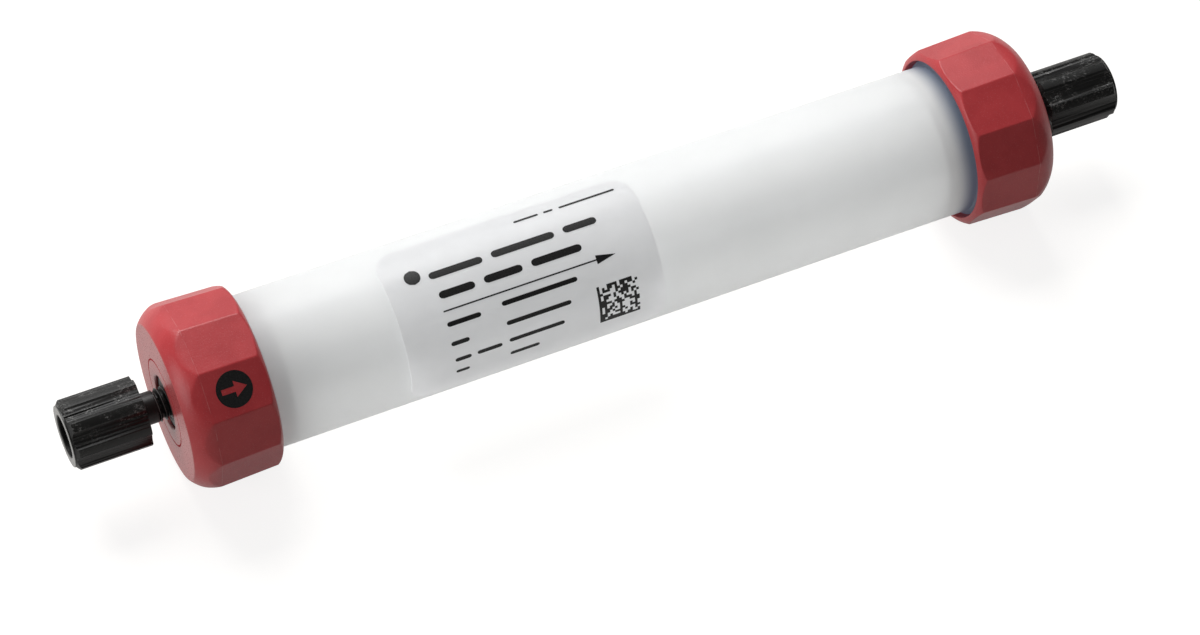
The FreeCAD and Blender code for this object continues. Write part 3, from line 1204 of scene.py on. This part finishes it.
class Surface(Wiring):
    """A material under way, with the masks that more than one finish needs."""

    def __init__(self, name: str) -> None:
        """Start the material and find its shader.

        Args:
            name: the material's name.
        """
        self.material = bpy.data.materials.new(name)
        self.material.use_nodes = True
        super().__init__(self.material.node_tree)
        self.shader = self.tree.nodes["Principled BSDF"]

    @cached_property
    def place(self) -> Socket:
        """Object coordinates, which are metres in the frame."""
        return self.node("TexCoord").outputs["Object"]

    def effect(self, tree: bpy.types.NodeTree, **values: float) -> bpy.types.bpy_prop_collection:
        """Place a node group, which reads the point's place.

        Args:
            tree: the group's tree.
            values: its other inputs by name, in lower case with underscores for spaces.

        Returns:
            The group's outputs.
        """
        made = self.node("Group", node_tree=tree)
        self.give(self.place, made.inputs["Place"])
        for name, value in values.items():
            self.give(value, made.inputs[name.replace("_", " ").capitalize()])
        return made.outputs

    def feed(self, **sockets: object) -> None:
        """Set or link the shader's inputs, named in lower case with underscores for spaces.

        Args:
            sockets: for each input, a value or the output socket that feeds it.
        """
        for key, value in sockets.items():
            title = "Specular IOR Level" if key == "ior_level" else key.replace("_", " ").title()
            self.give(value, self.shader.inputs[title])

    def parts(self, column: ColumnPlace) -> list[Socket]:
        """Split a point's place in three, with its height counted from the column's axis."""
        centred = self.node("Mapping", {"Vector": self.place, "Location": (0.0, 0.0, -column.height)})
        return list(self.node("SeparateXYZ", {0: centred.outputs[0]}).outputs)

    def reach(self, column: ColumnPlace) -> Socket:
        """How far a point is from the column's axis."""
        squares = [self.math("POWER", part, 2.0) for part in self.parts(column)[1:]]
        return self.math("SQRT", self.math("ADD", *squares))

    def ring(self, column: ColumnPlace, radius: float, half_width: float) -> Socket:
        """A mask of a ring about the axis, from its radius and half its width in millimetres."""
        return self.math("COMPARE", self.reach(column), mm(radius), mm(half_width))

    def mottle(self, tone: Socket, first: Colour, second: Colour) -> Socket:
        """Let slow unevenness choose between two colours that are close together."""
        return self.blend(self.ramp(tone, low=0.3, high=0.7), first, second)

    def bump(self, height: Socket, depth: float, strength: float) -> Socket:
        """A bump normal from a height that runs from 0 to 1 over a depth in millimetres."""
        return self.node("Bump", {"Height": height, "Distance": mm(depth), "Strength": strength}).outputs[0]

    def let_light_in(self, share: float) -> None:
        """Keep the surface whole to the eye, and let a share of the lamps' light pass inside."""
        shadow = self.node("LightPath").outputs["Is Shadow Ray"]
        self.feed(alpha=self.math("SUBTRACT", 1.0, self.math("MULTIPLY", shadow, share)))

    def soak(self, distance: float) -> None:
        """Let light soak in over a distance in millimetres."""
        self.feed(subsurface_weight=1.0, subsurface_scale=METRES_PER_MM, subsurface_radius=(distance,) * 3)


@dataclass(frozen=True)
class CapFinish:
    """Red moulded plastic with a fine pearly grain, and the hairline where the mould parts.

    The end faces are smoother than the rest. Their paler pink is a painted reflection, and the darker red in
    their groove is painted shade.
    """

    column: ColumnPlace
    cap: ScrewCap
    base: Colour = (0.61, 0.060, 0.067, 1.0)
    deep: Colour = (0.53, 0.046, 0.053, 1.0)
    fleck: Colour = (0.80, 0.30, 0.30, 1.0)
    # painted reflection: the paler pink of the end faces
    painted_face_reflection: Colour = (0.585, 0.105, 0.11, 1.0)
    # painted shade: the darker red in the end faces' groove
    groove_shade: Colour = (0.60, 0.020, 0.030, 1.0)
    fleck_share: float = 0.20
    line_share: float = 0.35
    line_height: float = 1.5
    parting_line: float = 3.37
    line_half_width: float = 0.045
    breaks_per_metre: float = 700.0
    break_levels: Pair = (0.35, 0.6)
    face_depth: Pair = (0.12, 0.04)
    groove_half_width: float = 0.13
    grains_per_mm: float = 4.4
    patch_mm: float = 5.0
    roughness: Pair = (0.23, 0.50)
    face_smoother: float = 0.06
    groove_rougher: float = 0.5
    grain_depth: float = 0.04
    grain_strength: float = 0.50

    def face_mask(self, made: Surface, along: Socket) -> Socket:
        """A mask of the two flat end faces.

        Args:
            made: the material under way.
            along: a point's place along the column.

        Returns:
            The mask, 1 on the faces.
        """
        start, whole = (mm(depth) for depth in self.face_depth)
        inlet = made.ramp(along, self.column.inlet_face + start, self.column.inlet_face + whole)
        outlet = made.ramp(along, self.column.outlet_face - start, self.column.outlet_face - whole)
        return made.math("MAXIMUM", inlet, outlet)

    def parting_mask(self, made: Surface, along: Socket) -> Socket:
        """A mask of the parting hairline on both caps, broken up along its run.

        Args:
            made: the material under way.
            along: a point's place along the column.

        Returns:
            The mask, 1 on the line.
        """
        offset, half = mm(self.parting_line), mm(self.line_half_width)
        inlet = made.math("COMPARE", along, self.column.inlet_face + offset, half)
        outlet = made.math("COMPARE", along, self.column.outlet_face - offset, half)
        links = {"Vector": made.place, "Scale": self.breaks_per_metre, "Detail": 2.0}
        breaks = made.ramp(made.node("TexNoise", links).outputs[0], *self.break_levels)
        return made.math("MULTIPLY", made.math("MAXIMUM", inlet, outlet), breaks)

    def build(self, effects: Effects) -> bpy.types.Material:
        """Make the material.

        Args:
            effects: the node groups that the finishes share.

        Returns:
            The material.
        """
        made = Surface("Red cap plastic")
        grain = made.effect(effects.grain, grains_per_mm=self.grains_per_mm)
        tone = made.effect(effects.tone, patch_mm=self.patch_mm)[0]
        along = made.parts(self.column)[0]
        line = self.parting_mask(made, along)
        face = self.face_mask(made, along)
        groove_shade = made.ring(self.column, self.cap.groove_radius, self.groove_half_width)
        colour = made.mottle(tone, self.deep, self.base)
        # painted reflection: the end faces are made a paler pink
        colour = made.blend(face, colour, self.painted_face_reflection)
        # painted shade: the groove on the end faces is made a darker red
        colour = made.blend(groove_shade, colour, self.groove_shade)
        colour = made.blend(made.math("MULTIPLY", grain["Flecks"], self.fleck_share), colour, self.fleck)
        colour = made.blend(made.math("MULTIPLY", line, self.line_share), colour, self.fleck)
        rough = made.spread(grain["Height"], *self.roughness)
        rough = made.math("SUBTRACT", rough, made.math("MULTIPLY", face, self.face_smoother))
        rough = made.math("ADD", rough, made.math("MULTIPLY", groove_shade, self.groove_rougher))
        height = made.math("ADD", grain["Height"], made.math("MULTIPLY", line, self.line_height))
        normal = made.bump(height, self.grain_depth, self.grain_strength)
        made.feed(base_color=colour, roughness=rough, ior_level=0.42, normal=normal)
        return made.material


@dataclass(frozen=True)
class PlugFinish:
    """Black moulded plastic, semi-gloss, with grey rub marks that are mostly painted highlight on the upper
    side, painted glints on its raised edges and on its thread's crests, and a painted reflection on the
    head's outer end.

    Each depth is a pair, where a mask starts and where it is whole, in millimetres under a surface, and
    the heights of the painted highlight are such a pair above the axis. The rubs are the size of their
    specks and of their patches in millimetres, and the share of the surface that they cover.
    """

    column: ColumnPlace
    plug: StopPlug
    black: Colour = (0.0065, 0.0065, 0.006, 1.0)
    # painted highlight over the rub marks, and a painted reflection on the head's outer end
    rub_and_highlight: Colour = (0.20, 0.20, 0.195, 1.0)
    end_reflection: Colour = (0.17, 0.17, 0.16, 1.0)
    coarse_rubs: Triple = (0.30, 2.6, 0.50)
    fine_rubs: Triple = (0.16, 4.0, 0.47)
    edge_depth: Pair = (0.22, 0.02)
    # where the painted glints and painted highlight fall: raised edges, upper side, thread's crests
    edge_glint_share: float = 0.22
    highlight_heights: Pair = (1.2, 4.2)
    highlight_from_above: float = 0.95
    rubbed_all_round: float = 0.06
    crest_half_width: float = 0.04
    crest_glint_share: float = 0.8
    end_depth: Pair = (0.12, 0.03)
    roughness: float = 0.42
    rubbed_roughness: float = 0.27
    end_roughness: float = 0.22
    grains_per_mm: float = 3.0
    rub_height: float = 0.6
    grain_depth: float = 0.008
    grain_strength: float = 0.15

    def rubs_and_highlights_mask(self, made: Surface, worn: Socket, light: Socket) -> Socket:
        """A mask of all that is painted grey: rub marks, mostly as painted highlight on the upper side, and
        painted glints on the raised edges and the thread's crests.

        Args:
            made: the material under way.
            worn: the mask of coarse rub marks.
            light: the mask of fine rub marks.

        Returns:
            The mask, 1 where the plug is painted palest.
        """
        start, whole = (mm(self.plug.head_radius - depth) for depth in self.edge_depth)
        raised = made.ramp(made.reach(self.column), start, whole)
        # painted highlight: the rub marks turn grey mostly on the upper side, where the light falls
        above = made.ramp(made.parts(self.column)[2], *(mm(height) for height in self.highlight_heights))
        share = made.math("ADD", made.math("MULTIPLY", above, self.highlight_from_above), self.rubbed_all_round)
        rub_and_highlight = made.math("MULTIPLY", worn, share)
        # painted glints on the raised edges, in the fine rub pattern
        edges = made.math("MULTIPLY", made.math("MULTIPLY", light, raised), self.edge_glint_share)
        # painted glints along the thread's crests
        crest_glints = made.ring(self.column, self.plug.thread_crest, self.crest_half_width)
        crest_glints = made.math("MULTIPLY", crest_glints, self.crest_glint_share)
        return made.math("MAXIMUM", rub_and_highlight, made.math("MAXIMUM", edges, crest_glints))

    def build(self, effects: Effects) -> bpy.types.Material:
        """Make the material.

        Args:
            effects: the node groups that the finishes share.

        Returns:
            The material.
        """
        made = Surface("Black plug plastic")
        worn, light = (
            made.effect(effects.rubs, speck_mm=speck, patch_mm=patch, cover=cover)[0]
            for speck, patch, cover in (self.coarse_rubs, self.fine_rubs)
        )
        grain = made.effect(effects.grain, grains_per_mm=self.grains_per_mm)
        mask = self.rubs_and_highlights_mask(made, worn, light)
        head_end = self.column.outlet_face + mm(self.plug.length_outside())
        from_middle = made.math("ABSOLUTE", made.parts(self.column)[0])
        end = made.ramp(from_middle, *(head_end - mm(depth) for depth in self.end_depth))
        # painted highlight and painted reflection: grey rubs and glints, and a paler outer end of the head
        colour = made.blend(end, made.blend(mask, self.black, self.rub_and_highlight), self.end_reflection)
        rough = made.blend(mask, grey(self.roughness), grey(self.rubbed_roughness))
        rough = made.blend(end, rough, grey(self.end_roughness))
        height = made.math("ADD", grain["Height"], made.math("MULTIPLY", worn, self.rub_height))
        normal = made.bump(height, self.grain_depth, self.grain_strength)
        made.feed(base_color=colour, roughness=rough, ior_level=0.34, normal=normal)
        return made.material


@dataclass(frozen=True)
class EndPieceFinish:
    """Dark smooth glossy plastic of the end pieces."""

    dark: Colour = (0.045, 0.050, 0.048, 1.0)
    pale: Colour = (0.090, 0.098, 0.092, 1.0)
    roughness: Pair = (0.26, 0.40)
    patch_mm: float = 2.0
    grains_per_mm: float = 2.2

    def build(self, effects: Effects) -> bpy.types.Material:
        """Make the material.

        Args:
            effects: the node groups that the finishes share.

        Returns:
            The material.
        """
        made = Surface("Dark end piece plastic")
        tone = made.effect(effects.tone, patch_mm=self.patch_mm)[0]
        grain = made.effect(effects.grain, grains_per_mm=self.grains_per_mm)
        made.feed(
            base_color=made.blend(tone, self.dark, self.pale),
            roughness=made.spread(tone, *self.roughness),
            ior_level=0.8,
            normal=made.bump(grain["Height"], depth=0.012, strength=0.3),
        )
        return made.material


@dataclass(frozen=True)
class TubeFinish:
    """Milky white tube that light soaks into, with painted bluish shade beside the caps, which stands in for
    their shadow and for the dark flanges seen through the wall.

    The glow is painted light, which stands in for the light that the wet bed spreads inside the tube.
    """

    column: ColumnPlace
    cap: ScrewCap
    milk: Colour = (0.63, 0.64, 0.645, 1.0)
    veil: Colour = (0.595, 0.605, 0.61, 1.0)
    # painted shade: a bluish dark colour blended in beside the caps
    shade: Colour = (0.10, 0.135, 0.20, 1.0)
    outlet_reach: float = 3.0
    outlet_shade: float = 0.92
    inlet_reach: float = 0.5
    inlet_shade: float = 0.25
    patch_mm: float = 22.0
    roughness: Pair = (0.42, 0.52)
    light_passed: float = 0.95
    soak_mm: float = 20.0
    # strength of the painted glow
    glow: float = 0.28

    def build(self, effects: Effects) -> bpy.types.Material:
        """Make the material.

        Args:
            effects: the node groups that the finishes share.

        Returns:
            The material.
        """
        made = Surface("Milky tube plastic")
        along = made.parts(self.column)[0]
        tone = made.effect(effects.tone, patch_mm=self.patch_mm)[0]
        outlet_rim = self.column.outlet_face - mm(self.cap.length)
        inlet_rim = self.column.inlet_face + mm(self.cap.length)
        # painted shade beside both caps, strongest beside the outlet
        outlet_shade_mask = made.ramp(along, outlet_rim - mm(self.outlet_reach), outlet_rim)
        inlet_shade_mask = made.ramp(along, inlet_rim + mm(self.inlet_reach), inlet_rim)
        colour = made.mottle(tone, self.milk, self.veil)
        for near, share in ((outlet_shade_mask, self.outlet_shade), (inlet_shade_mask, self.inlet_shade)):
            colour = made.blend(made.math("MULTIPLY", near, share), colour, self.shade)
        made.feed(base_color=colour, roughness=made.spread(tone, *self.roughness), ior_level=0.35)
        # painted light: the tube glows in its own colour, less where the painted shade lies
        made.feed(emission_color=colour, emission_strength=self.glow)
        made.let_light_in(self.light_passed)
        made.soak(self.soak_mm)
        return made.material


@dataclass(frozen=True)
class LabelFinish:
    """Satin silvery white film, with a faint painted glow that stands in for light carried through the tube
    behind it.
    """

    film: Colour = (0.74, 0.74, 0.755, 1.0)
    sheen: Colour = (0.69, 0.69, 0.705, 1.0)
    patch_mm: float = 9.0
    grains_per_mm: float = 5.0
    roughness: Pair = (0.28, 0.36)
    light_passed: float = 0.60
    soak_mm: float = 1.0
    # colour and strength of the painted glow
    painted_glow_tone: Colour = (1.0, 1.0, 0.99, 1.0)
    glow: float = 0.10

    def build(self, effects: Effects) -> bpy.types.Material:
        """Make the material.

        Args:
            effects: the node groups that the finishes share.

        Returns:
            The material.
        """
        made = Surface("Silvery label film")
        tone = made.effect(effects.tone, patch_mm=self.patch_mm)[0]
        grain = made.effect(effects.grain, grains_per_mm=self.grains_per_mm)
        # the emission is painted light
        made.feed(
            base_color=made.mottle(tone, self.film, self.sheen),
            roughness=made.spread(tone, *self.roughness),
            ior_level=0.22,
            emission_color=self.painted_glow_tone,
            emission_strength=self.glow,
            normal=made.bump(grain["Height"], depth=0.004, strength=0.2),
        )
        made.let_light_in(self.light_passed)
        made.soak(self.soak_mm)
        return made.material


@dataclass(frozen=True)
class InkFinish:
    """Printed ink, a soft black that is a little uneven."""

    name: str
    ink: Colour = grey(0.008)
    thin: Colour = grey(0.020)
    grains_per_mm: float = 6.0

    def build(self, effects: Effects) -> bpy.types.Material:
        """Make the material.

        Args:
            effects: the node groups that the finishes share.

        Returns:
            The material.
        """
        made = Surface(self.name)
        grain = made.effect(effects.grain, grains_per_mm=self.grains_per_mm)
        colour = made.blend(made.ramp(grain["Height"], low=0.35, high=0.65), self.ink, self.thin)
        made.feed(base_color=colour, roughness=0.45, ior_level=0.35)
        return made.material


@dataclass(frozen=True)
class InnerFinish:
    """A plain finish for a piece that is sealed inside the column."""

    name: str
    light: Colour
    dark: Colour
    grains_per_mm: float
    grain_depth: float
    roughness: float
    light_passed: float = 0.0
    soak_mm: float = 0.0

    def build(self, effects: Effects) -> bpy.types.Material:
        """Make the material.

        Args:
            effects: the node groups that the finishes share.

        Returns:
            The material.
        """
        made = Surface(self.name)
        grain = made.effect(effects.grain, grains_per_mm=self.grains_per_mm)
        made.feed(
            base_color=made.blend(grain["Height"], self.dark, self.light),
            roughness=self.roughness,
            normal=made.bump(grain["Height"], self.grain_depth, strength=0.5),
        )
        if self.light_passed > 0.0:
            made.let_light_in(self.light_passed)
        if self.soak_mm > 0.0:
            made.soak(self.soak_mm)
        return made.material


SEAL_RUBBER = InnerFinish(
    name="Seal rubber", light=grey(0.03), dark=grey(0.02), grains_per_mm=2.0, grain_depth=0.01, roughness=0.5
)
INSERT_PLASTIC = InnerFinish(
    name="Insert plastic",
    light=(0.75, 0.75, 0.73, 1.0),
    dark=(0.66, 0.66, 0.64, 1.0),
    grains_per_mm=2.0,
    grain_depth=0.01,
    roughness=0.4,
)
SINTERED_FRIT = InnerFinish(
    name="Sintered frit",
    light=(0.82, 0.82, 0.80, 1.0),
    dark=(0.60, 0.60, 0.57, 1.0),
    grains_per_mm=5.0,
    grain_depth=0.08,
    roughness=0.8,
)
PACKED_BEADS = InnerFinish(
    name="Packed beads",
    light=(0.86, 0.85, 0.82, 1.0),
    dark=(0.72, 0.71, 0.68, 1.0),
    grains_per_mm=9.0,
    grain_depth=0.04,
    roughness=0.6,
    light_passed=0.95,
    soak_mm=8.0,
)


@dataclass
class CadDress:
    """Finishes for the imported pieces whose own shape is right."""

    effects: Effects
    column: ColumnPlace
    cap: ScrewCap

    def paint(self, node: str, material: bpy.types.Material) -> None:
        """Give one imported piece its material.

        Args:
            node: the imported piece's name.
            material: its finish.
        """
        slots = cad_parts[node].data.materials
        slots.clear()
        slots.append(material)
        LOG.info("%s: %s", node, material.name)

    def build(self) -> None:
        """Paint the tube, the label, the end pieces and what is sealed inside."""
        self.paint("column_tube", TubeFinish(self.column, self.cap).build(self.effects))
        self.paint("label", LabelFinish().build(self.effects))
        self.paint("packed_bed", PACKED_BEADS.build(self.effects))
        finishes = {
            "end_piece": EndPieceFinish(),
            "o_ring": SEAL_RUBBER,
            "flow_distributor": INSERT_PLASTIC,
            "frit": SINTERED_FRIT,
        }
        for piece, finish in finishes.items():
            material = finish.build(self.effects)
            for end in End:
                self.paint(f"{end.value}_{piece}", material)


@dataclass(frozen=True)
class Lamp:
    """A soft rectangular lamp: where it hangs and how wide and high it is, in metres, and its watts."""

    name: str
    place: Triple
    size: Pair
    power: float

    def hang(self, target: Vector) -> None:
        """Hang the lamp so that it faces a point.

        Args:
            target: the point.
        """
        data = bpy.data.lights.new(self.name, "AREA")
        data.shape = "RECTANGLE"
        data.size, data.size_y = self.size
        data.energy = self.power
        lamp = bpy.data.objects.new(self.name, data)
        lamp.visible_camera = False
        lamp.location = self.place
        lamp.rotation_euler = (target - Vector(self.place)).to_track_quat("-Z", "Y").to_euler()
        bpy.context.scene.collection.objects.link(lamp)


@dataclass
class Studio:
    """The pale floor, the soft lamps, the room and the camera, in metres."""

    focal_length: float = 114.62
    sensor_width: float = 36.0
    camera_place: Triple = (-0.14734, -0.32397, 0.41792)
    camera_right: Triple = (0.9109, -0.4124, 0.0)
    camera_up: Triple = (0.3142, 0.6938, 0.6478)
    camera_back: Triple = (-0.2673, -0.5902, 0.7617)
    lamps: tuple[Lamp, ...] = (
        Lamp("Key", (-0.03, 0.58, 0.813), (0.62, 0.55), 8.4),
        Lamp("Low strip", (-0.25, 1.0, 0.22), (1.2, 0.3), 1.2),
        Lamp("Inlet fill", (-1.0, -0.05, 0.33), (0.6, 0.5), 3.4),
    )
    lit_point: Triple = (0.0, 0.0, 0.013)
    floor_size: float = 12.0
    floor_tone: Colour = (0.33, 0.318, 0.297, 1.0)
    floor_glow: float = 0.84
    mirrored_share: float = 0.6
    room: Colour = grey(0.12)

    def camera(self) -> None:
        """Stand the camera where the photograph was taken from."""
        data = bpy.data.cameras.new("Camera")
        data.lens = self.focal_length
        data.sensor_width = self.sensor_width
        data.clip_start = 0.01
        camera = bpy.data.objects.new("Camera", data)
        columns = (self.camera_right, self.camera_up, self.camera_back)
        turned = Matrix(columns).transposed().to_4x4()
        camera.matrix_world = Matrix.Translation(self.camera_place) @ turned
        bpy.context.scene.collection.objects.link(camera)
        bpy.context.scene.camera = camera

    def floor(self) -> None:
        """Lay the pale floor, which the camera sees as white where no shadow falls."""
        bpy.ops.object.select_all(action="DESELECT")
        bpy.ops.mesh.primitive_plane_add(size=self.floor_size, location=(0.0, 0.0, 0.0))
        floor = bpy.context.object
        floor.name = "floor"
        made = Surface("Pale floor")
        glossy = made.node("LightPath").outputs["Is Glossy Ray"]
        mirrored = made.math("MULTIPLY", glossy, self.mirrored_share)
        seen = made.math("MAXIMUM", made.in_view(), mirrored)
        glow = made.math("MULTIPLY", seen, self.floor_glow)
        made.feed(base_color=self.floor_tone, roughness=0.9, ior_level=0.0)
        made.feed(emission_color=WHITE, emission_strength=glow)
        floor.data.materials.append(made.material)

    def world(self) -> None:
        """A dim room that the camera sees as white."""
        world = bpy.data.worlds.new("Room")
        bpy.context.scene.world = world
        world.use_nodes = True
        wiring = Wiring(world.node_tree)
        colour = wiring.blend(wiring.in_view(), self.room, WHITE)
        wiring.give(colour, world.node_tree.nodes["Background"].inputs["Color"])

    def build(self) -> None:
        """Set up the whole studio."""
        self.camera()
        for lamp in self.lamps:
            lamp.hang(Vector(self.lit_point))
        self.floor()
        self.world()
        bpy.context.scene.view_settings.view_transform = "Standard"


def main() -> None:
    """Dress the column, piece by piece."""
    logging.basicConfig(level=logging.INFO, format="%(message)s")
    column = ColumnPlace.from_frame()
    effects = Effects.build()
    cap = ScrewCap()
    plug = StopPlug(Thread())
    Studio().build()
    CadDress(effects, column, cap).build()
    cap.build(column, CapFinish(column, cap).build(effects))
    CapMark(cap).build(column, InkFinish("Cap mark ink").build(effects))
    plug.build(column, PlugFinish(column, plug).build(effects))
    LabelPrint(Print()).build(column, InkFinish("Label ink").build(effects))


if __name__ == "__main__":
    main()
